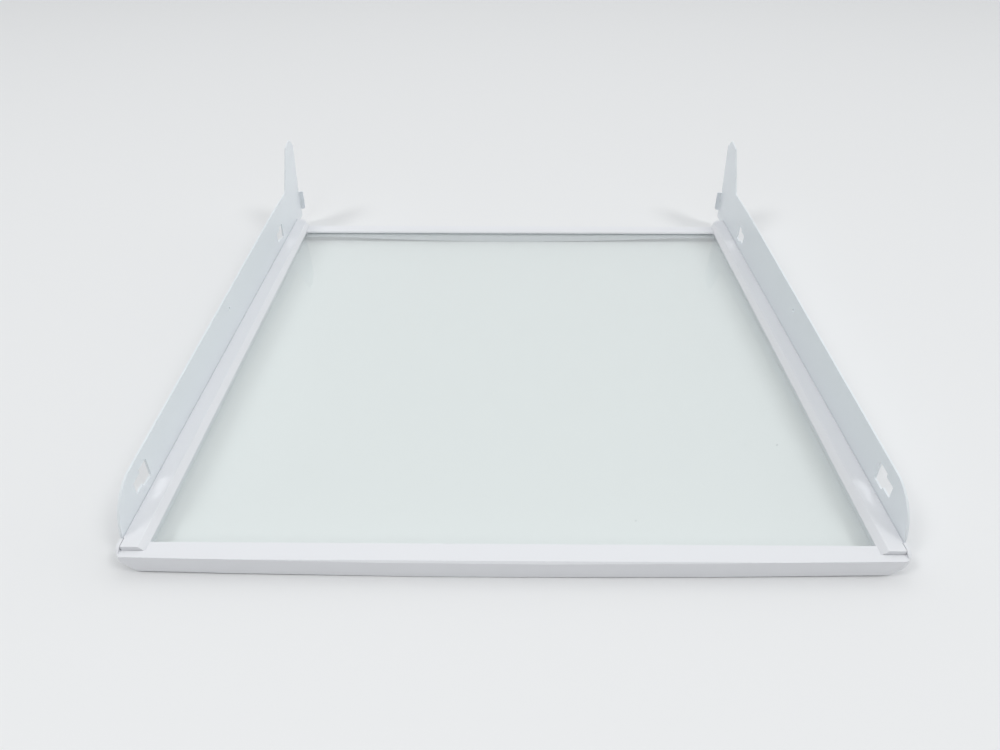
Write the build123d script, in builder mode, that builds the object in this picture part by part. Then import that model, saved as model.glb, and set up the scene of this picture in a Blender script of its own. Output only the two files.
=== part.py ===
from build123d import *
import os

# Refrigerator shelf: a glass pane held at its edges by four plastic mouldings and carried by two folded
# steel side brackets. Sizes are in millimetres. +Z is up, the front faces -Y, and the origin lies on the
# surface that the shelf rests on, under the middle of its overall box. Depths are measured to the rear from
# the lip line, which is the inner edge of the front trim's upper lip, where the glass comes into view.

# Clearances
glass_slip = 0.1  # above the glass in its grooves
glass_end_gap = 0.4  # behind the glass edges in their grooves
piece_gap = 0.2  # between neighbouring plastic pieces
flange_slip = 0.2  # under the bracket's flange in the rail's groove
ear_gap = 0.4  # beside the rail's tongue and ahead of the bracket's web

# Glass pane
pane_thickness = 4.0
pane_underside = 6.0  # height above the surface that the shelf rests on
pane_view_depth = 372.0  # from the lip line to the rear trim's upper lip
pane_front_insert = 4.0
pane_rear_insert = 5.0
pane_side_insert = 6.0
pane_corner_radius = 3.0
pane_arris = 0.5

# Side rails
bracket_gap = 400.0  # between the inner faces of the two brackets
rail_width = 13.2
rail_top_width = 10.0
rail_lip_height = 3.9  # over the glass and its slip
rail_lip_edge = 0.6
rail_outer_round = 0.8
rail_inner_round = 0.8
rail_lower_setback = 3.2  # lower lip's face, behind the upper lip's edge
rail_closing_wall = 1.6
rail_foot_thickness = 1.4
rail_foot_setback = 2.0  # foot's outer edge, clear of the bracket's bend
rail_tongue = 6.0  # front end that lies on the front trim
rail_rear_reach = 9.0  # past the rear trim
rail_rear_cut = 8.0

# Folded steel brackets, heights measured above the rails
sheet = 1.2
bend_radius = 1.2
flange_front = 3.0
flange_rear_setback = 27.0  # ahead of the web's rear edge
web_front = 0.3
web_rear_reach = 43.0  # behind the rear trim's upper lip
web_hidden_depth = 5.0  # how far the web reaches below the rails' top, ahead of and behind the flange
web_front_straight = 1.1  # left of the front edge under its round
web_level_height = 34.4
web_level_run = 45.5  # level part ahead of the hook
web_front_radius = 26.5
web_corner_radius = 1.0
hook_rake = 23.3  # from the hook's foot back to its tip
hook_tip_width = 14.7
hook_shoulder_run = 9.1  # from the tip back to the shoulder
hook_overhang = 5.6  # shoulder behind the web's rear edge
hook_height = 66.6
hook_shoulder_drop = 5.6
hook_root_rise = 2.0  # over the tab's upper relief
hook_foot_radius = 5.0
hook_tip_rise = 2.4  # tip's rear corner over its front corner
hook_tip_radius = 1.2
tab_low = 2.0
tab_height = 17.0
tab_reach = 4.0  # inward of the web's inner face
tab_flat = 0.2  # between the tab's lower round and its bend
relief_width = 1.0
relief_run = 0.4  # past the bend
relief_radius = 0.4
window_front = 24.2
window_pitch = 304.8
window_depth = 17.8
window_neck_depth = 8.3
window_low = 5.0
window_height = 11.9
window_step = 2.1  # the front part is lower at the top and higher at the bottom by this much
window_corner = 0.6
hang_hole_depth = 197.3
hang_hole_height = 19.4
hang_hole_radius = 1.3

# Front trim
trim_lip = 1.4  # over the glass and its slip
trim_depth = 10.5
trim_bow = 2.2
trim_corner_radius = 4.5
trim_lift = 0.5  # lower edge's middle over the surface that the shelf rests on
trim_crown = 0.9  # how far the lower edge rises from the middle to the ends
trim_slant_height = 9.2
trim_slant_inset = 9.4
trim_facet = 1.1  # straight facet along the bowed top front edge, widest in the middle
trim_wall = 2.0
trim_groove_wall = 1.8
lower_lip = 1.6
ear_thickness = 1.8
ear_level = 3.0
ear_reach = 9.0
rib_count = 9
rib_thickness = 1.6

# Rear trim
rear_trim_depth = 14.0
rear_lip = 1.4  # over the rear slot
rear_trim_lead = 1.0  # how far the lower lip stands ahead of the upper one
rear_slot = 0.2  # gap over the glass
rear_skirt_inset = 32.0  # skirt's ends, in from the trim's ends
rear_lip_chamfer = 1.0

# Sizes that follow
web_inner = bracket_gap / 2
web_outer = web_inner + sheet
rail_lip = web_inner - rail_width
rail_lower_face = rail_lip + rail_lower_setback
rail_groove = rail_lip + pane_side_insert + glass_end_gap
pane_top = pane_underside + pane_thickness
rail_height = pane_top + glass_slip + rail_lip_height
trim_top = pane_top + glass_slip + trim_lip
rear_trim_top = pane_top + rear_slot + rear_lip
rail_rear = pane_view_depth - rear_trim_lead + rear_trim_depth + rail_rear_reach
web_rear = pane_view_depth + web_rear_reach
web_front_height = web_front_radius - web_hidden_depth + web_front_straight
hook_shoulder = web_rear + hook_overhang
hook_tip_rear = hook_shoulder - hook_shoulder_run
hook_tip_front = hook_tip_rear - hook_tip_width
hook_foot = hook_tip_front - hook_rake
web_level_start = hook_foot - web_level_run
flange_rear = web_rear - flange_rear_setback
relief_depth = bend_radius + sheet + relief_run
flange_bottom = rail_foot_thickness + flange_slip
flange_top = flange_bottom + sheet
flange_tip = rail_lower_face + rail_closing_wall + glass_end_gap
trim_half = web_outer
tongue_outer = trim_half - ear_thickness - ear_gap
rear_trim_half = rail_lip - piece_gap
rear_skirt_half = rear_trim_half - rear_skirt_inset
overall_depth = trim_depth + trim_bow + hook_shoulder
lip_line = trim_depth + trim_bow - overall_depth / 2
rear_lip_line = lip_line + pane_view_depth

os.makedirs("parts", exist_ok=True)


def save(node, name):
    """Labels a finished piece and writes its STEP file."""
    node.part.label = name
    export_step(node.part, f"parts/{name}.step")


# Glass pane
with BuildPart() as glass_pane:
    pane_front = lip_line - pane_front_insert
    pane_back = rear_lip_line + pane_rear_insert
    with BuildSketch(Plane.XY.offset(pane_underside)):
        with Locations((0, (pane_front + pane_back) / 2)):
            RectangleRounded(2 * (rail_lip + pane_side_insert), pane_back - pane_front, pane_corner_radius)
    extrude(amount=pane_thickness)
    chamfer(glass_pane.faces().filter_by(Axis.Z).edges(), pane_arris)
save(glass_pane, "glass_pane")

# Side rails: one section with a groove inward for the glass and a groove outward for the bracket's flange
with BuildPart() as right_rail:
    with BuildSketch(Plane.XZ.offset(rail_tongue - lip_line)) as rail_section:
        rail_crest = web_inner - rail_top_width
        bend_clear = bend_radius + glass_end_gap
        with BuildLine():
            Polyline(
                (web_inner, rail_height),
                (rail_crest, rail_height),
                (rail_lip, pane_top + glass_slip + rail_lip_edge),
                (rail_lip, pane_top + glass_slip),
                (rail_groove, pane_top + glass_slip),
                (rail_groove, pane_underside),
                (rail_lower_face, pane_underside),
                (rail_lower_face, 0),
                (web_inner - rail_foot_setback, 0),
                (web_inner - rail_foot_setback, rail_foot_thickness),
                (rail_lower_face + rail_closing_wall, rail_foot_thickness),
                (rail_lower_face + rail_closing_wall, flange_top),
                (web_inner - bend_clear, flange_top),
                (web_inner, flange_top + bend_clear),
                close=True,
            )
        make_face()
        fillet(rail_section.vertices().sort_by_distance((web_inner, rail_height))[0], rail_outer_round)
        fillet(rail_section.vertices().sort_by_distance((rail_crest, rail_height))[0], rail_inner_round)
    extrude(amount=-(rail_tongue + rail_rear))
    # Only the upper part of the front end goes on over the front trim
    with BuildSketch(Plane.YZ):
        with Locations((lip_line + piece_gap - rail_tongue, pane_underside / 2)):
            Rectangle(2 * rail_tongue, pane_underside)
    extrude(amount=bracket_gap, mode=Mode.SUBTRACT)
    # The front end is narrower too, so that the front trim's ear is flush with the bracket
    with BuildSketch(Plane.XY):
        with Locations(((tongue_outer + web_outer) / 2, lip_line - rail_tongue)):
            Rectangle(web_outer - tongue_outer, 2 * rail_tongue)
    extrude(amount=rail_height, mode=Mode.SUBTRACT)
    # The inner rear corner is cut off at an angle
    with BuildSketch(Plane.XY):
        with BuildLine():
            Polyline(
                (rail_lip, lip_line + rail_rear - rail_rear_cut),
                (rail_lip + rail_rear_cut, lip_line + rail_rear),
                (rail_lip, lip_line + rail_rear),
                close=True,
            )
        make_face()
    extrude(amount=rail_height, mode=Mode.SUBTRACT)
save(right_rail, "right_rail")

with BuildPart() as left_rail:
    mirror(right_rail.part, about=Plane.YZ)
save(left_rail, "left_rail")

# Folded brackets: the upright web in outline, then its foot flange and rear tab, bent inward
with BuildPart() as right_bracket:
    web_low = rail_height - web_hidden_depth
    level_top = rail_height + web_level_height
    tab_bottom = rail_height + tab_low
    tab_top = tab_bottom + tab_height
    outline = [
        (web_front, web_low, web_corner_radius),
        (web_front, rail_height + web_front_height, web_front_radius),
        (web_level_start, level_top, 0),
        (hook_foot, level_top, hook_foot_radius),
        (hook_tip_front, rail_height + hook_height, hook_tip_radius),
        (hook_tip_rear, rail_height + hook_height + hook_tip_rise, hook_tip_radius),
        (hook_shoulder, rail_height + hook_height - hook_shoulder_drop, hook_tip_radius),
        (web_rear, tab_top + relief_width + hook_root_rise, 0),
        (web_rear, tab_top + relief_width, relief_radius),
        (web_rear - relief_depth, tab_top + relief_width, relief_radius),
        (web_rear - relief_depth, tab_bottom - relief_width, relief_radius),
        (web_rear, tab_bottom - relief_width, relief_radius),
        (web_rear, web_low, web_corner_radius),
        (flange_rear, web_low, relief_radius),
        (flange_rear, flange_bottom, 0),
        (flange_front, flange_bottom, 0),
        (flange_front, web_low, relief_radius),
    ]
    with BuildSketch(Plane.YZ.offset(web_inner)):
        with BuildLine():
            FilletPolyline(
                *[(lip_line + depth, height) for depth, height, radius in outline],
                radius=[radius for depth, height, radius in outline],
                close=True,
            )
        make_face()
        for window in (window_front, window_front + window_pitch):
            front = lip_line + window
            step = front + window_neck_depth
            back = front + window_depth
            low = rail_height + window_low
            high = low + window_height
            with BuildLine():
                FilletPolyline(
                    (front, low + window_step),
                    (step, low + window_step),
                    (step, low),
                    (back, low),
                    (back, high),
                    (step, high),
                    (step, high - window_step),
                    (front, high - window_step),
                    radius=window_corner,
                    close=True,
                )
            make_face(mode=Mode.SUBTRACT)
        with Locations((lip_line + hang_hole_depth, rail_height + hang_hole_height)):
            Circle(hang_hole_radius, mode=Mode.SUBTRACT)
    extrude(amount=sheet)

    with BuildSketch(Plane.XY.offset(flange_bottom)):
        with Locations(((flange_tip + web_outer) / 2, lip_line + (flange_front + flange_rear) / 2)):
            Rectangle(web_outer - flange_tip, flange_rear - flange_front)
    extrude(amount=sheet)
    flange_middle = lip_line + (flange_front + flange_rear) / 2
    long_edges = right_bracket.edges().filter_by(Axis.Y)
    fillet(long_edges.sort_by_distance((web_inner, flange_middle, flange_top))[0], bend_radius)
    long_edges = right_bracket.edges().filter_by(Axis.Y)
    fillet(long_edges.sort_by_distance((web_outer, flange_middle, flange_bottom))[0], bend_radius + sheet)

    # The tab leaves the web between two reliefs and turns inward round its bend
    tab_inner = web_inner - tab_reach
    tab_start = lip_line + web_rear - relief_depth
    tab_back = lip_line + web_rear
    with BuildSketch(Plane.XY.offset(tab_bottom)):
        with BuildLine():
            FilletPolyline(
                (web_outer, tab_start),
                (web_outer, tab_back),
                (tab_inner, tab_back),
                (tab_inner, tab_back - sheet),
                (web_inner, tab_back - sheet),
                (web_inner, tab_start),
                radius=[0, bend_radius + sheet, 0, 0, bend_radius, 0],
                close=True,
            )
        make_face()
    extrude(amount=tab_top - tab_bottom)
    short_edges = right_bracket.edges().filter_by(Axis.Y)
    tab_low_radius = tab_reach - bend_radius - tab_flat
    fillet(short_edges.sort_by_distance((tab_inner, tab_back, tab_bottom))[0], tab_low_radius)
save(right_bracket, "right_bracket")

with BuildPart() as left_bracket:
    mirror(right_bracket.part, about=Plane.YZ)
save(left_bracket, "left_bracket")

# Front trim: a bowed plan, a crowned lower edge and slanted ends, hollow underneath between ribs
with BuildPart() as front_trim:
    trim_front = lip_line - trim_depth
    trim_nose = trim_front - trim_bow
    with BuildSketch(Plane.XY) as trim_plan:
        with BuildLine():
            ThreePointArc((-trim_half, trim_front), (0, trim_nose), (trim_half, trim_front))
            Polyline(
                (trim_half, trim_front),
                (trim_half, lip_line),
                (-trim_half, lip_line),
                (-trim_half, trim_front),
            )
        make_face()
        front_corners = trim_plan.vertices().group_by(Axis.Y)[0]
        fillet(front_corners, trim_corner_radius)
    extrude(amount=rail_height)
    with BuildSketch(Plane.XZ):
        with BuildLine():
            foot_half = trim_half - trim_slant_inset
            foot_end = trim_lift + trim_crown
            ThreePointArc((-foot_half, foot_end), (0, trim_lift), (foot_half, foot_end))
            Polyline(
                (foot_half, foot_end),
                (trim_half, trim_slant_height),
                (trim_half, rail_height),
                (-trim_half, rail_height),
                (-trim_half, trim_slant_height),
                (-foot_half, foot_end),
            )
        make_face()
    extrude(amount=overall_depth, both=True, mode=Mode.INTERSECT)

    # The top is cut down to its level, which leaves a thin wall round the outside
    with BuildSketch(Plane.XY.offset(trim_top)):
        with BuildLine():
            inner_half = trim_half - ear_thickness
            Polyline(
                (-inner_half, lip_line + trim_bow),
                (inner_half, lip_line + trim_bow),
                (inner_half, trim_nose - trim_bow),
                (-inner_half, trim_nose - trim_bow),
                close=True,
            )
        make_face()
    extrude(amount=rail_height, mode=Mode.SUBTRACT)
    # Only the ears are left of that wall, rounded off towards the front
    with BuildSketch(Plane.YZ):
        with BuildLine():
            ear_top = (lip_line - ear_gap - ear_level, rail_height)
            ear_foot = (lip_line - ear_reach, trim_top)
            TangentArc(ear_top, ear_foot, tangent=(-1, 0))
            Polyline(
                ear_foot,
                (trim_nose - trim_bow, trim_top),
                (trim_nose - trim_bow, rail_height),
                ear_top,
            )
        make_face()
        with Locations((lip_line, (pane_underside + rail_height) / 2)):
            Rectangle(2 * ear_gap, rail_height - pane_underside)
    extrude(amount=trim_half, both=True, mode=Mode.SUBTRACT)
    # The facet is flat, so on the bowed front it fades out towards both ends
    with BuildSketch(Plane.YZ):
        with BuildLine():
            Polyline(
                (trim_nose + trim_facet, trim_top),
                (trim_nose - trim_facet, trim_top),
                (trim_nose - trim_facet, trim_top - 2 * trim_facet),
                close=True,
            )
        make_face()
    extrude(amount=trim_half, both=True, mode=Mode.SUBTRACT)

    # Seats for the rails' tongues
    with BuildSketch(Plane.XY.offset(pane_underside)):
        for side in (-1, 1):
            seat_inner = rail_lip - piece_gap
            seat_outer = trim_half - ear_thickness
            with Locations((side * (seat_inner + seat_outer) / 2, lip_line)):
                Rectangle(seat_outer - seat_inner, 2 * (rail_tongue + piece_gap))
    extrude(amount=rail_height, mode=Mode.SUBTRACT)

    # Groove for the glass, and the open space below its lower lip
    with BuildSketch(Plane.YZ):
        with Locations((lip_line, (pane_underside + pane_top + glass_slip) / 2)):
            Rectangle(2 * (pane_front_insert + glass_end_gap), pane_thickness + glass_slip)
    extrude(amount=rail_groove, both=True, mode=Mode.SUBTRACT)
    hollow_half = rail_lip - piece_gap - trim_wall
    with BuildSketch(Plane.XY):
        with Locations((0, lip_line)):
            Rectangle(2 * hollow_half, 2 * (pane_front_insert + glass_end_gap))
    extrude(amount=pane_underside - lower_lip, mode=Mode.SUBTRACT)

    # Hollow behind the front face, between ribs
    rib_pitch = 2 * hollow_half / (rib_count + 1)
    with BuildSketch(Plane.XY):
        with BuildLine():
            hollow_rear = lip_line - pane_front_insert - glass_end_gap - trim_groove_wall
            hollow_front = trim_front + trim_wall
            hollow_nose = hollow_front - trim_bow
            ThreePointArc((-hollow_half, hollow_front), (0, hollow_nose), (hollow_half, hollow_front))
            Polyline(
                (hollow_half, hollow_front),
                (hollow_half, hollow_rear),
                (-hollow_half, hollow_rear),
                (-hollow_half, hollow_front),
            )
        make_face()
        with Locations((0, hollow_rear)):
            with GridLocations(rib_pitch, 1, rib_count, 1):
                Rectangle(rib_thickness, 2 * trim_depth, mode=Mode.SUBTRACT)
    extrude(amount=trim_top - trim_wall, mode=Mode.SUBTRACT)
save(front_trim, "front_trim")

# Rear trim: two lips with the glass between them, and a skirt that is deepest in the middle
with BuildPart() as rear_trim:
    rear_front = rear_lip_line - rear_trim_lead
    lip_underside = pane_underside - lower_lip
    with BuildSketch(Plane.XZ.offset(-rear_front)):
        with BuildLine():
            ThreePointArc((-rear_skirt_half, lip_underside), (0, 0), (rear_skirt_half, lip_underside))
            Polyline(
                (rear_skirt_half, lip_underside),
                (rear_trim_half, lip_underside),
                (rear_trim_half, rear_trim_top),
                (-rear_trim_half, rear_trim_top),
                (-rear_trim_half, lip_underside),
                (-rear_skirt_half, lip_underside),
            )
        make_face()
    extrude(amount=-rear_trim_depth)
    with BuildSketch(Plane.YZ):
        slot_back = rear_lip_line + pane_rear_insert + glass_end_gap
        with Locations(((rear_front + slot_back) / 2, (pane_underside + pane_top + rear_slot) / 2)):
            Rectangle(slot_back - rear_front, pane_thickness + rear_slot)
        with Locations(((rear_front + rear_lip_line) / 2, (pane_underside + rear_trim_top) / 2)):
            Rectangle(rear_trim_lead, rear_trim_top - pane_underside)
    extrude(amount=rear_trim_half, both=True, mode=Mode.SUBTRACT)
    # Under the lower lip only the front wall goes down, and behind the glass only a flat tail goes back
    rear_back = rear_front + rear_trim_depth
    groove_back = slot_back + trim_groove_wall
    tail_underside = rear_trim_top - trim_wall
    with BuildSketch(Plane.YZ):
        with Locations(((rear_front + trim_wall + rear_back) / 2, lip_underside / 2)):
            Rectangle(rear_back - rear_front - trim_wall, lip_underside)
        with Locations(((groove_back + rear_back) / 2, tail_underside / 2)):
            Rectangle(rear_back - groove_back, tail_underside)
    extrude(amount=rear_trim_half, both=True, mode=Mode.SUBTRACT)
    lip_edges = rear_trim.edges().filter_by(Axis.X)
    chamfer(lip_edges.sort_by_distance((0, rear_lip_line, rear_trim_top))[0], rear_lip_chamfer)
save(rear_trim, "rear_trim")
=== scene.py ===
"""Dresses a refrigerator shelf: a glass pane, its four plastic edge mouldings and two painted side brackets."""

from math import radians

import bmesh
import bpy
from bpy.props import FloatProperty, FloatVectorProperty, PointerProperty
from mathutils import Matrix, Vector


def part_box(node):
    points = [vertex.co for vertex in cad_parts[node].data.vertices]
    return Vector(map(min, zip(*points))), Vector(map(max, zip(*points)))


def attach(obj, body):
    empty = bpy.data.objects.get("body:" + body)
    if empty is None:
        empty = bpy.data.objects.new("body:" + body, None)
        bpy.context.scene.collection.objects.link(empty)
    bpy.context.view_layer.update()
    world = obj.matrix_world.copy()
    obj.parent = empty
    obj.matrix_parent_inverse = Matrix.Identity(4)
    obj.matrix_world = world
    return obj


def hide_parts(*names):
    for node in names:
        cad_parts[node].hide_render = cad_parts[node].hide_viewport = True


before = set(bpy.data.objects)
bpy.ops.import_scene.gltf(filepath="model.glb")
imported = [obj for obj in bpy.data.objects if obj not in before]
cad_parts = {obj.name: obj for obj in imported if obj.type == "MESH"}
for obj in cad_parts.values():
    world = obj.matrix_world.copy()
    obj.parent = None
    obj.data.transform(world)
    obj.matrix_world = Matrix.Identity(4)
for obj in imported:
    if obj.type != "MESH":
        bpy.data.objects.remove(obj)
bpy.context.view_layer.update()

bl_info = {
    "name": "Refrigerator Shelf",
    "version": (1, 0, 0),
    "blender": (4, 5, 0),
    "location": "3D View > Sidebar > Shelf",
    "description": "Dresses a glass shelf with plastic edge mouldings and painted side brackets",
    "category": "Object",
}

# Lengths are in metres.
BODY = "root"
MERGE_DISTANCE = 2e-6  # under which two vertices of a node are one
FLAT_ANGLE = radians(0.4)  # under which two faces are one flat face
EDGE_ANGLE = radians(28)  # over which an edge is sharp and gets a round
SURFACE_IOR = 1.5  # of glass, plastic and paint alike
GRAIN_HEIGHT = 0.0001
GLOSS_SCALE = 60.0

# Each crumb's place across and along the pane, and its share of the largest crumb's width
CRUMBS = ((0.1593, -0.1246, 1.0), (0.1401, -0.1248, 0.7), (0.0662, -0.1866, 0.85))
CRUMB_FORM = (1.0, 0.7, 0.35)  # length, breadth and height against the width

# Each lamp's name, place, width and the setting that holds its power
LAMPS = (
    ("left lamp", (-2.12, -1.20, 3.16), 1.0, "side_power"),
    ("right lamp", (2.04, -1.24, 3.20), 1.0, "side_power"),
    ("front lamp", (-0.24, -1.60, 1.25), 0.25, "front_power"),
    ("back lamp", (0.0, 1.20, 2.20), 1.3, "back_power"),
)
FLOOR_REACH = 40.0  # from the middle of the floor to its sides
DOME_FRONT, DOME_REAR = -0.7, 0.3  # along Y, between which the room's light grows to its full strength
SENSOR_WIDTH = 36.0  # in millimetres


class ShelfGlassSettings(bpy.types.PropertyGroup):
    """Sizes and colours of the glass pane and the crumbs on it."""

    tint: FloatVectorProperty(
        name="Glass tint",
        description="Colour that the pane gives to what is seen through it",
        subtype="COLOR",
        size=3,
        min=0.0,
        max=1.0,
        default=(0.958, 0.988, 0.978),
    )
    shadow_tint: FloatVectorProperty(
        name="Shadow tint",
        description="Share of each colour of light that passes through the pane",
        subtype="COLOR",
        size=3,
        min=0.0,
        max=1.0,
        default=(0.966, 0.978, 0.975),
    )
    smear_roughness: FloatProperty(
        name="Smear roughness",
        description="Roughness of the pane where a smear is thickest",
        subtype="FACTOR",
        min=0.0,
        max=1.0,
        default=0.12,
    )
    seat_gap: FloatProperty(
        name="Seat gap",
        description="Air left between the pane and the mouldings under it",
        unit="LENGTH",
        min=0.0,
        default=0.00005,
    )
    crumb_size: FloatProperty(
        name="Crumb size",
        description="Width of the largest crumb on the pane",
        unit="LENGTH",
        min=0.0,
        default=0.0011,
    )
    crumb_tint: FloatVectorProperty(
        name="Crumb tint",
        description="Colour of the crumbs",
        subtype="COLOR",
        size=3,
        min=0.0,
        max=1.0,
        default=(0.50, 0.53, 0.54),
    )
    crumb_shade: FloatVectorProperty(
        name="Crumb shade",
        description="Colour of the darker spots on the crumbs",
        subtype="COLOR",
        size=3,
        min=0.0,
        max=1.0,
        default=(0.34, 0.37, 0.38),
    )


class ShelfMouldingSettings(bpy.types.PropertyGroup):
    """Sizes and colours of the white plastic mouldings."""

    tint: FloatVectorProperty(
        name="Plastic tint",
        description="Main colour of the plastic",
        subtype="COLOR",
        size=3,
        min=0.0,
        max=1.0,
        default=(0.832, 0.840, 0.866),
    )
    shade: FloatVectorProperty(
        name="Plastic shade",
        description="Colour of the slightly darker flow patches",
        subtype="COLOR",
        size=3,
        min=0.0,
        max=1.0,
        default=(0.806, 0.818, 0.846),
    )
    edge_round: FloatProperty(
        name="Edge round",
        description="Radius on the moulded edges",
        unit="LENGTH",
        min=0.0,
        default=0.0005,
    )


class ShelfBracketSettings(bpy.types.PropertyGroup):
    """Sizes and colours of the painted steel brackets."""

    tint: FloatVectorProperty(
        name="Paint tint",
        description="Main colour of the powder coat",
        subtype="COLOR",
        size=3,
        min=0.0,
        max=1.0,
        default=(0.838, 0.874, 0.902),
    )
    shade: FloatVectorProperty(
        name="Paint shade",
        description="Colour where the powder coat is a little thinner",
        subtype="COLOR",
        size=3,
        min=0.0,
        max=1.0,
        default=(0.812, 0.852, 0.884),
    )
    edge_round: FloatProperty(
        name="Edge round",
        description="Radius that the paint gives to the sheared edges",
        unit="LENGTH",
        min=0.0,
        default=0.0002,
    )


class ShelfStageSettings(bpy.types.PropertyGroup):
    """Floor, room light, lamps and camera."""

    floor_tint: FloatVectorProperty(
        name="Floor tint",
        description="Colour of the floor near the shelf",
        subtype="COLOR",
        size=3,
        min=0.0,
        max=1.0,
        default=(0.845, 0.85, 0.855),
    )
    fade_start: FloatProperty(
        name="Fade start",
        description="How far from the shelf the floor starts to fade into the backdrop",
        unit="LENGTH",
        min=0.0,
        default=1.6,
    )
    fade_end: FloatProperty(
        name="Fade end",
        description="How far from the shelf the floor has become the backdrop",
        unit="LENGTH",
        min=0.0,
        default=4.0,
    )
    dome_tint: FloatVectorProperty(
        name="Dome tint",
        description="Colour of the room's light",
        subtype="COLOR",
        size=3,
        min=0.0,
        max=1.0,
        default=(0.97, 0.988, 1.0),
    )
    dome_strength: FloatProperty(
        name="Dome strength",
        description="Strength of the room's light from above and behind",
        min=0.0,
        default=0.84,
    )
    open_front: FloatProperty(
        name="Open front",
        description="Share of the room's light that is left in front, where the camera stands",
        min=0.0,
        max=1.0,
        default=0.22,
    )
    right_wall: FloatProperty(
        name="Right wall",
        description="Share of the room's light on its right side; its left side has 2 less this share",
        min=0.0,
        default=1.26,
    )
    backdrop: FloatVectorProperty(
        name="Backdrop",
        description="Colour of the room where it is seen directly, reflected or through glass",
        subtype="COLOR",
        size=3,
        min=0.0,
        max=1.0,
        default=(0.77, 0.78, 0.79),
    )
    side_power: FloatProperty(
        name="Side lamps",
        description="Power of each lamp beside the shelf",
        unit="POWER",
        min=0.0,
        default=29.0,
    )
    front_power: FloatProperty(
        name="Front lamp",
        description="Power of the lamp in front of the shelf and above it",
        unit="POWER",
        min=0.0,
        default=2.4,
    )
    back_power: FloatProperty(
        name="Back lamp",
        description="Power of the large lamp above the floor behind the shelf",
        unit="POWER",
        min=0.0,
        default=4.5,
    )
    camera_place: FloatVectorProperty(
        name="Camera place",
        description="Where the camera stands",
        subtype="TRANSLATION",
        size=3,
        default=(-0.00416, -0.46625, 0.30669),
    )
    camera_pitch: FloatProperty(
        name="Camera pitch",
        description="How far the camera looks down from level",
        subtype="ANGLE",
        default=radians(35.729),
    )
    camera_turn: FloatProperty(
        name="Camera turn",
        description="How far the camera turns to the left",
        subtype="ANGLE",
        default=radians(0.431),
    )
    camera_lens: FloatProperty(
        name="Camera lens",
        description="Focal length on a 36 mm wide sensor, in millimetres",
        min=1.0,
        default=27.0,
    )


def add_node(tree, kind, place, **values):
    """Adds a node, sets its properties and the inputs named in the values, and returns it."""
    node = tree.nodes.new(kind)
    node.location = place
    for name, value in values.items():
        if hasattr(node, name):
            setattr(node, name, value)
        else:
            node.inputs[name.replace("_", " ").title()].default_value = value
    return node


def satin_grain():
    """Shared surface detail: broad patches of tone, a fine change of gloss and a small grain in relief."""
    group = bpy.data.node_groups.get("Satin grain")
    if group:
        return group
    group = bpy.data.node_groups.new("Satin grain", "ShaderNodeTree")
    face = group.interface
    for name, kind, start in (
        ("Tint", "NodeSocketColor", (0.8, 0.8, 0.8, 1.0)),
        ("Shade", "NodeSocketColor", (0.7, 0.7, 0.7, 1.0)),
        ("Patch Scale", "NodeSocketFloat", 18.0),
        ("Grain Scale", "NodeSocketFloat", 900.0),
        ("Least Roughness", "NodeSocketFloat", 0.3),
        ("Most Roughness", "NodeSocketFloat", 0.4),
    ):
        socket = face.new_socket(name=name, in_out="INPUT", socket_type=kind)
        socket.default_value = start
    for name, kind in (
        ("Color", "NodeSocketColor"),
        ("Roughness", "NodeSocketFloat"),
        ("Height", "NodeSocketFloat"),
    ):
        face.new_socket(name=name, in_out="OUTPUT", socket_type=kind)
    given = add_node(group, "NodeGroupInput", (-900, 0))
    made = add_node(group, "NodeGroupOutput", (500, 0))
    place = add_node(group, "ShaderNodeTexCoord", (-900, -300))
    patch = add_node(group, "ShaderNodeTexNoise", (-600, 200), detail=3.0)
    gloss = add_node(group, "ShaderNodeTexNoise", (-600, -50), detail=4.0, scale=GLOSS_SCALE)
    grain = add_node(group, "ShaderNodeTexNoise", (-600, -300), detail=2.0)
    tone = add_node(group, "ShaderNodeMix", (-200, 200), data_type="RGBA")
    spread = add_node(group, "ShaderNodeMapRange", (-200, -50))
    links = group.links
    for texture in (patch, gloss, grain):
        links.new(place.outputs["Object"], texture.inputs["Vector"])
    links.new(given.outputs["Patch Scale"], patch.inputs["Scale"])
    links.new(given.outputs["Grain Scale"], grain.inputs["Scale"])
    links.new(patch.outputs["Fac"], tone.inputs["Factor"])
    links.new(given.outputs["Tint"], tone.inputs["A"])
    links.new(given.outputs["Shade"], tone.inputs["B"])
    links.new(gloss.outputs["Fac"], spread.inputs["Value"])
    links.new(given.outputs["Least Roughness"], spread.inputs["To Min"])
    links.new(given.outputs["Most Roughness"], spread.inputs["To Max"])
    links.new(tone.outputs["Result"], made.inputs["Color"])
    links.new(spread.outputs["Result"], made.inputs["Roughness"])
    links.new(grain.outputs["Fac"], made.inputs["Height"])
    return group


def new_material(name):
    """Returns a new node material with no nodes in it yet."""
    material = bpy.data.materials.new(name)
    material.use_nodes = True
    material.node_tree.nodes.clear()
    return material


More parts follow.
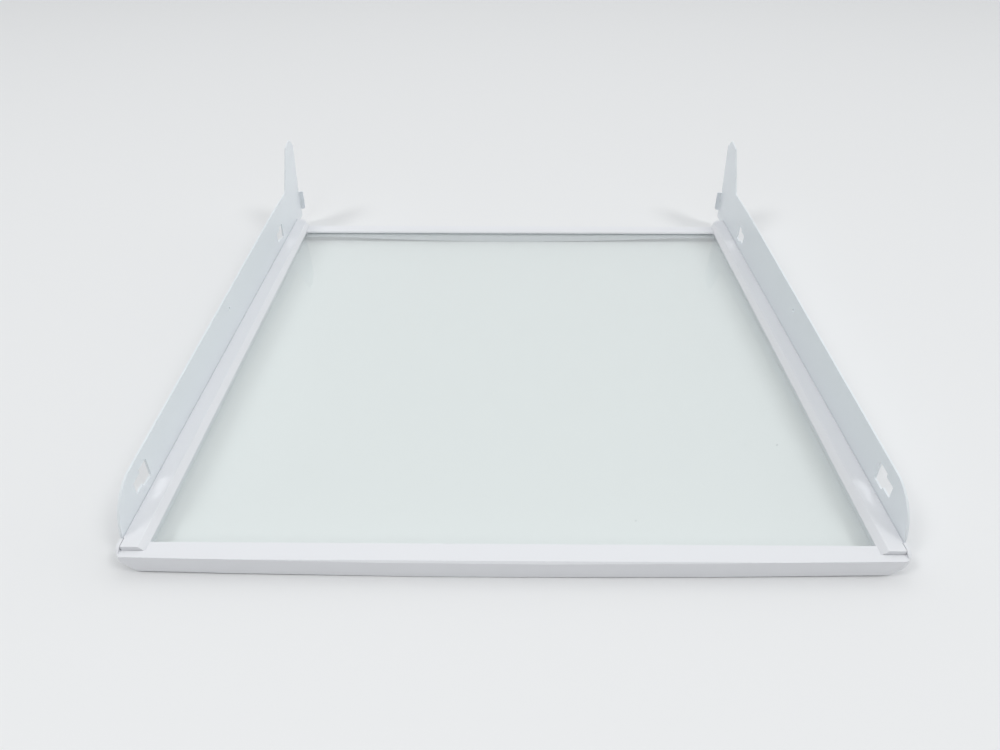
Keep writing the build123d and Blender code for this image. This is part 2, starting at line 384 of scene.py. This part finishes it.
def grained_finish(name, tint, shade, patch_scale, grain_scale, least_rough, most_rough, relief):
    """Opaque surface with the shared grain, for the plastic, the paint and the crumbs."""
    material = new_material(name)
    tree = material.node_tree
    output = add_node(tree, "ShaderNodeOutputMaterial", (700, 0))
    surface = add_node(tree, "ShaderNodeBsdfPrincipled", (350, 0))
    surface.inputs["IOR"].default_value = SURFACE_IOR
    detail = add_node(tree, "ShaderNodeGroup", (-250, 0), node_tree=satin_grain())
    detail.inputs["Tint"].default_value = (*tint, 1.0)
    detail.inputs["Shade"].default_value = (*shade, 1.0)
    detail.inputs["Patch Scale"].default_value = patch_scale
    detail.inputs["Grain Scale"].default_value = grain_scale
    detail.inputs["Least Roughness"].default_value = least_rough
    detail.inputs["Most Roughness"].default_value = most_rough
    bump = add_node(tree, "ShaderNodeBump", (80, -250))
    bump.inputs["Strength"].default_value = relief
    bump.inputs["Distance"].default_value = GRAIN_HEIGHT
    tree.links.new(detail.outputs["Color"], surface.inputs["Base Color"])
    tree.links.new(detail.outputs["Roughness"], surface.inputs["Roughness"])
    tree.links.new(detail.outputs["Height"], bump.inputs["Height"])
    tree.links.new(bump.outputs["Normal"], surface.inputs["Normal"])
    tree.links.new(surface.outputs["BSDF"], output.inputs["Surface"])
    return material


def white_plastic(settings):
    """Satin white of the injection mouldings."""
    return bpy.data.materials.get("Moulded white plastic") or grained_finish(
        "Moulded white plastic",
        settings.tint,
        settings.shade,
        patch_scale=14.0,
        grain_scale=1400.0,
        least_rough=0.28,
        most_rough=0.40,
        relief=0.10,
    )


def powder_coat(settings):
    """White powder coat with its slight orange peel."""
    return bpy.data.materials.get("White powder coat") or grained_finish(
        "White powder coat",
        settings.tint,
        settings.shade,
        patch_scale=9.0,
        grain_scale=520.0,
        least_rough=0.32,
        most_rough=0.44,
        relief=0.22,
    )


def dry_crumb(settings):
    """Dull grey of the crumbs, with darker spots."""
    return grained_finish(
        "Dry crumb",
        settings.crumb_tint,
        settings.crumb_shade,
        patch_scale=1500.0,
        grain_scale=4000.0,
        least_rough=0.7,
        most_rough=0.9,
        relief=0.3,
    )


def shelf_glass(settings):
    """Clear glass with a pale green cast and faint smears, which lets light through to what lies under it."""
    material = new_material("Pale green glass")
    tree = material.node_tree
    output = add_node(tree, "ShaderNodeOutputMaterial", (800, 0))
    glass = add_node(tree, "ShaderNodeBsdfPrincipled", (100, 0))
    glass.inputs["Base Color"].default_value = (*settings.tint, 1.0)
    glass.inputs["Transmission Weight"].default_value = 1.0
    smears = add_node(tree, "ShaderNodeGroup", (-250, -100), node_tree=satin_grain())
    smears.inputs["Least Roughness"].default_value = 0.0
    smears.inputs["Most Roughness"].default_value = settings.smear_roughness
    tree.links.new(smears.outputs["Roughness"], glass.inputs["Roughness"])
    glass.inputs["IOR"].default_value = SURFACE_IOR
    through = add_node(tree, "ShaderNodeBsdfTransparent", (100, -400))
    through.inputs["Color"].default_value = (*settings.shadow_tint, 1.0)
    rays = add_node(tree, "ShaderNodeLightPath", (-400, 300))
    soft = add_node(tree, "ShaderNodeMath", (-100, 300), operation="MAXIMUM")
    mix = add_node(tree, "ShaderNodeMixShader", (500, 0))
    tree.links.new(rays.outputs["Is Shadow Ray"], soft.inputs[0])
    tree.links.new(rays.outputs["Is Diffuse Ray"], soft.inputs[1])
    tree.links.new(soft.outputs["Value"], mix.inputs["Fac"])
    tree.links.new(glass.outputs["BSDF"], mix.inputs[1])
    tree.links.new(through.outputs["BSDF"], mix.inputs[2])
    tree.links.new(mix.outputs["Shader"], output.inputs["Surface"])
    return material


def finish_piece(mesh_data, name, material, node=None):
    """Makes an object of a finished mesh with its material, which rides on the shelf and, when a node is given,
    stands in for that node, which is hidden.
    """
    mesh = bpy.data.meshes.new(name)
    mesh_data.to_mesh(mesh)
    mesh_data.free()
    mesh.materials.append(material)
    piece = bpy.data.objects.new(name, mesh)
    bpy.context.scene.collection.objects.link(piece)
    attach(piece, BODY)
    if node:
        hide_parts(node)
    return piece


def merged_copy(node):
    """Returns a node's own shape as one closed mesh with its flat faces joined."""
    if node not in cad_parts:
        raise RuntimeError(f"the packed shelf has no node named {node}")
    shape = bmesh.new()
    shape.from_mesh(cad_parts[node].data)
    bmesh.ops.remove_doubles(shape, verts=shape.verts[:], dist=MERGE_DISTANCE)
    bmesh.ops.dissolve_limit(shape, angle_limit=FLAT_ANGLE, verts=shape.verts[:], edges=shape.edges[:])
    return shape


def rounded_piece(node, name, material, edge_round):
    """Copies a node, rounds its sharp edges and evens its shading."""
    shape = merged_copy(node)
    sharp = [e for e in shape.edges if len(e.link_faces) == 2 and e.calc_face_angle() > EDGE_ANGLE]
    bmesh.ops.bevel(
        shape,
        geom=sharp,
        offset=edge_round,
        offset_type="OFFSET",
        segments=2,
        profile=0.5,
        affect="EDGES",
        clamp_overlap=True,
        material=-1,
    )
    for face in shape.faces:
        face.smooth = True
    piece = finish_piece(shape, name, material, node)
    even = piece.modifiers.new("Even shading", "WEIGHTED_NORMAL")
    even.keep_sharp = True
    even.weight = 80
    return piece


def pale_floor(settings):
    """Matt pale floor that fades into the backdrop far from the shelf."""
    material = new_material("Pale floor")
    tree = material.node_tree
    output = add_node(tree, "ShaderNodeOutputMaterial", (600, 0))
    surface = add_node(tree, "ShaderNodeBsdfPrincipled", (0, 0))
    surface.inputs["Base Color"].default_value = (*settings.floor_tint, 1.0)
    surface.inputs["Roughness"].default_value = 0.75
    surface.inputs["Specular IOR Level"].default_value = 0.2
    distant = add_node(tree, "ShaderNodeEmission", (0, -400))
    distant.inputs["Color"].default_value = (*settings.backdrop, 1.0)
    place = add_node(tree, "ShaderNodeTexCoord", (-600, 300))
    reach = add_node(tree, "ShaderNodeVectorMath", (-400, 300), operation="LENGTH")
    fade = add_node(tree, "ShaderNodeMapRange", (-150, 300), interpolation_type="SMOOTHSTEP")
    fade.inputs["From Min"].default_value = settings.fade_start
    fade.inputs["From Max"].default_value = settings.fade_end
    mix = add_node(tree, "ShaderNodeMixShader", (350, 0))
    tree.links.new(place.outputs["Object"], reach.inputs[0])
    tree.links.new(reach.outputs["Value"], fade.inputs["Value"])
    tree.links.new(fade.outputs["Result"], mix.inputs["Fac"])
    tree.links.new(surface.outputs["BSDF"], mix.inputs[1])
    tree.links.new(distant.outputs["Emission"], mix.inputs[2])
    tree.links.new(mix.outputs["Shader"], output.inputs["Surface"])
    return material


def light_dome(settings):
    """Light of a white tent with an open front, and a plain pale backdrop wherever the room itself is seen."""
    room = bpy.data.worlds.new("Room")
    room.use_nodes = True
    tree = room.node_tree
    tree.nodes.clear()
    output = add_node(tree, "ShaderNodeOutputWorld", (900, 0))
    dome = add_node(tree, "ShaderNodeBackground", (400, 100))
    dome.inputs["Color"].default_value = (*settings.dome_tint, 1.0)
    seen = add_node(tree, "ShaderNodeBackground", (400, -150))
    seen.inputs["Color"].default_value = (*settings.backdrop, 1.0)
    place = add_node(tree, "ShaderNodeTexCoord", (-600, 100))
    parts = add_node(tree, "ShaderNodeSeparateXYZ", (-400, 100))
    depth = add_node(tree, "ShaderNodeMapRange", (-100, 100))
    depth.inputs["From Min"].default_value = DOME_FRONT
    depth.inputs["From Max"].default_value = DOME_REAR
    depth.inputs["To Min"].default_value = settings.dome_strength * settings.open_front
    depth.inputs["To Max"].default_value = settings.dome_strength
    walls = add_node(tree, "ShaderNodeMapRange", (-100, -200))
    walls.inputs["From Min"].default_value = -1.0
    walls.inputs["To Min"].default_value = 2.0 - settings.right_wall
    walls.inputs["To Max"].default_value = settings.right_wall
    strength = add_node(tree, "ShaderNodeMath", (150, 0), operation="MULTIPLY")
    rays = add_node(tree, "ShaderNodeLightPath", (-400, 500))
    first = add_node(tree, "ShaderNodeMath", (-100, 500), operation="MAXIMUM")
    either = add_node(tree, "ShaderNodeMath", (150, 500), operation="MAXIMUM")
    mix = add_node(tree, "ShaderNodeMixShader", (650, 0))
    tree.links.new(place.outputs["Generated"], parts.inputs["Vector"])
    tree.links.new(parts.outputs["Y"], depth.inputs["Value"])
    tree.links.new(parts.outputs["X"], walls.inputs["Value"])
    tree.links.new(depth.outputs["Result"], strength.inputs[0])
    tree.links.new(walls.outputs["Result"], strength.inputs[1])
    tree.links.new(strength.outputs["Value"], dome.inputs["Strength"])
    tree.links.new(rays.outputs["Is Camera Ray"], first.inputs[0])
    tree.links.new(rays.outputs["Is Glossy Ray"], first.inputs[1])
    tree.links.new(first.outputs["Value"], either.inputs[0])
    tree.links.new(rays.outputs["Is Transmission Ray"], either.inputs[1])
    tree.links.new(either.outputs["Value"], mix.inputs["Fac"])
    tree.links.new(dome.outputs["Background"], mix.inputs[1])
    tree.links.new(seen.outputs["Background"], mix.inputs[2])
    tree.links.new(mix.outputs["Shader"], output.inputs["Surface"])
    return room


class SHELF_OT_glass(bpy.types.Operator):
    """Makes the glass pane and the crumbs that lie on it"""

    bl_idname = "shelf.glass"
    bl_label = "Glass pane"

    def execute(self, context):
        settings = context.scene.shelf_glass
        shape = merged_copy("glass_pane")
        low = min(v.co.z for v in shape.verts)
        under = [v for v in shape.verts if v.co.z < low + MERGE_DISTANCE]
        bmesh.ops.translate(shape, verts=under, vec=(0.0, 0.0, settings.seat_gap))
        finish_piece(shape, "clear_pane", shelf_glass(settings), "glass_pane")

        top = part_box("glass_pane")[1].z
        crumbs = bmesh.new()
        for across, along, share in CRUMBS:
            width = settings.crumb_size * share
            made = bmesh.ops.create_icosphere(crumbs, subdivisions=2, radius=width / 2)["verts"]
            bmesh.ops.scale(crumbs, verts=made, vec=CRUMB_FORM)
            turn = Vector((share, 1.0, 0.0)).to_track_quat("X", "Z").to_matrix()
            bmesh.ops.rotate(crumbs, verts=made, matrix=turn)
            flat = min(v.co.z for v in made)
            bmesh.ops.translate(crumbs, verts=made, vec=(across, along, top - flat))
        finish_piece(crumbs, "crumbs", dry_crumb(settings))
        return {"FINISHED"}


class SHELF_OT_rails(bpy.types.Operator):
    """Makes the two side rails"""

    bl_idname = "shelf.rails"
    bl_label = "Side rails"

    def execute(self, context):
        settings = context.scene.shelf_moulding
        plastic = white_plastic(settings)
        for side in ("left", "right"):
            rounded_piece(f"{side}_rail", f"{side}_side_rail", plastic, settings.edge_round)
        return {"FINISHED"}


class SHELF_OT_trims(bpy.types.Operator):
    """Makes the front and rear trims"""

    bl_idname = "shelf.trims"
    bl_label = "Front and rear trims"

    def execute(self, context):
        settings = context.scene.shelf_moulding
        plastic = white_plastic(settings)
        for end in ("front", "rear"):
            rounded_piece(f"{end}_trim", f"{end}_edge_trim", plastic, settings.edge_round)
        return {"FINISHED"}


class SHELF_OT_brackets(bpy.types.Operator):
    """Makes the two folded brackets"""

    bl_idname = "shelf.brackets"
    bl_label = "Side brackets"

    def execute(self, context):
        settings = context.scene.shelf_bracket
        paint = powder_coat(settings)
        for side in ("left", "right"):
            rounded_piece(f"{side}_bracket", f"{side}_steel_bracket", paint, settings.edge_round)
        return {"FINISHED"}


class SHELF_OT_stage(bpy.types.Operator):
    """Makes the floor, the room's light, the lamps and the camera"""

    bl_idname = "shelf.stage"
    bl_label = "Stage"

    def execute(self, context):
        settings = context.scene.shelf_stage
        scene = context.scene
        scene.view_settings.view_transform = "Standard"

        ground = bmesh.new()
        bmesh.ops.create_grid(ground, x_segments=1, y_segments=1, size=FLOOR_REACH)
        mesh = bpy.data.meshes.new("floor")
        ground.to_mesh(mesh)
        ground.free()
        floor = bpy.data.objects.new("floor", mesh)
        scene.collection.objects.link(floor)
        mesh.materials.append(pale_floor(settings))

        scene.world = light_dome(settings)

        for name, place, width, power in LAMPS:
            light = bpy.data.lights.new(name, "AREA")
            light.shape = "SQUARE"
            light.size = width
            light.energy = getattr(settings, power)
            lamp = bpy.data.objects.new(name, light)
            lamp.location = place
            lamp.rotation_euler = (-Vector(place)).to_track_quat("-Z", "Y").to_euler()
            lamp.visible_glossy = lamp.visible_transmission = False
            scene.collection.objects.link(lamp)

        lens = bpy.data.cameras.new("camera")
        lens.sensor_width = SENSOR_WIDTH
        lens.sensor_fit = "HORIZONTAL"
        lens.lens = settings.camera_lens
        lens.clip_start = 0.01
        camera = bpy.data.objects.new("camera", lens)
        camera.location = settings.camera_place
        camera.rotation_euler = (radians(90) - settings.camera_pitch, 0.0, settings.camera_turn)
        scene.collection.objects.link(camera)
        scene.camera = camera
        return {"FINISHED"}


class VIEW3D_PT_shelf(bpy.types.Panel):
    """Lists the steps that dress the shelf"""

    bl_label = "Refrigerator shelf"
    bl_space_type = "VIEW_3D"
    bl_region_type = "UI"
    bl_category = "Shelf"

    def draw(self, context):
        for operator in OPERATORS:
            self.layout.operator(operator.bl_idname)
        for group in SETTINGS:
            box = self.layout.box()
            for name in SETTINGS[group].__annotations__:
                box.prop(getattr(context.scene, group), name)


OPERATORS = (SHELF_OT_glass, SHELF_OT_rails, SHELF_OT_trims, SHELF_OT_brackets, SHELF_OT_stage)
SETTINGS = {
    "shelf_glass": ShelfGlassSettings,
    "shelf_moulding": ShelfMouldingSettings,
    "shelf_bracket": ShelfBracketSettings,
    "shelf_stage": ShelfStageSettings,
}


def register():
    """Registers the settings, the operators and the panel."""
    for name, kind in SETTINGS.items():
        bpy.utils.register_class(kind)
        setattr(bpy.types.Scene, name, PointerProperty(type=kind))
    for kind in (*OPERATORS, VIEW3D_PT_shelf):
        bpy.utils.register_class(kind)


def unregister():
    """Takes the panel, the operators and the settings out again."""
    for kind in (VIEW3D_PT_shelf, *reversed(OPERATORS)):
        bpy.utils.unregister_class(kind)
    for name, kind in SETTINGS.items():
        delattr(bpy.types.Scene, name)
        bpy.utils.unregister_class(kind)


def main():
    """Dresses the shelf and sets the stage."""
    register()
    bpy.ops.shelf.glass()
    bpy.ops.shelf.rails()
    bpy.ops.shelf.trims()
    bpy.ops.shelf.brackets()
    bpy.ops.shelf.stage()
    bpy.context.view_layer.update()


if __name__ == "__main__":
    main()
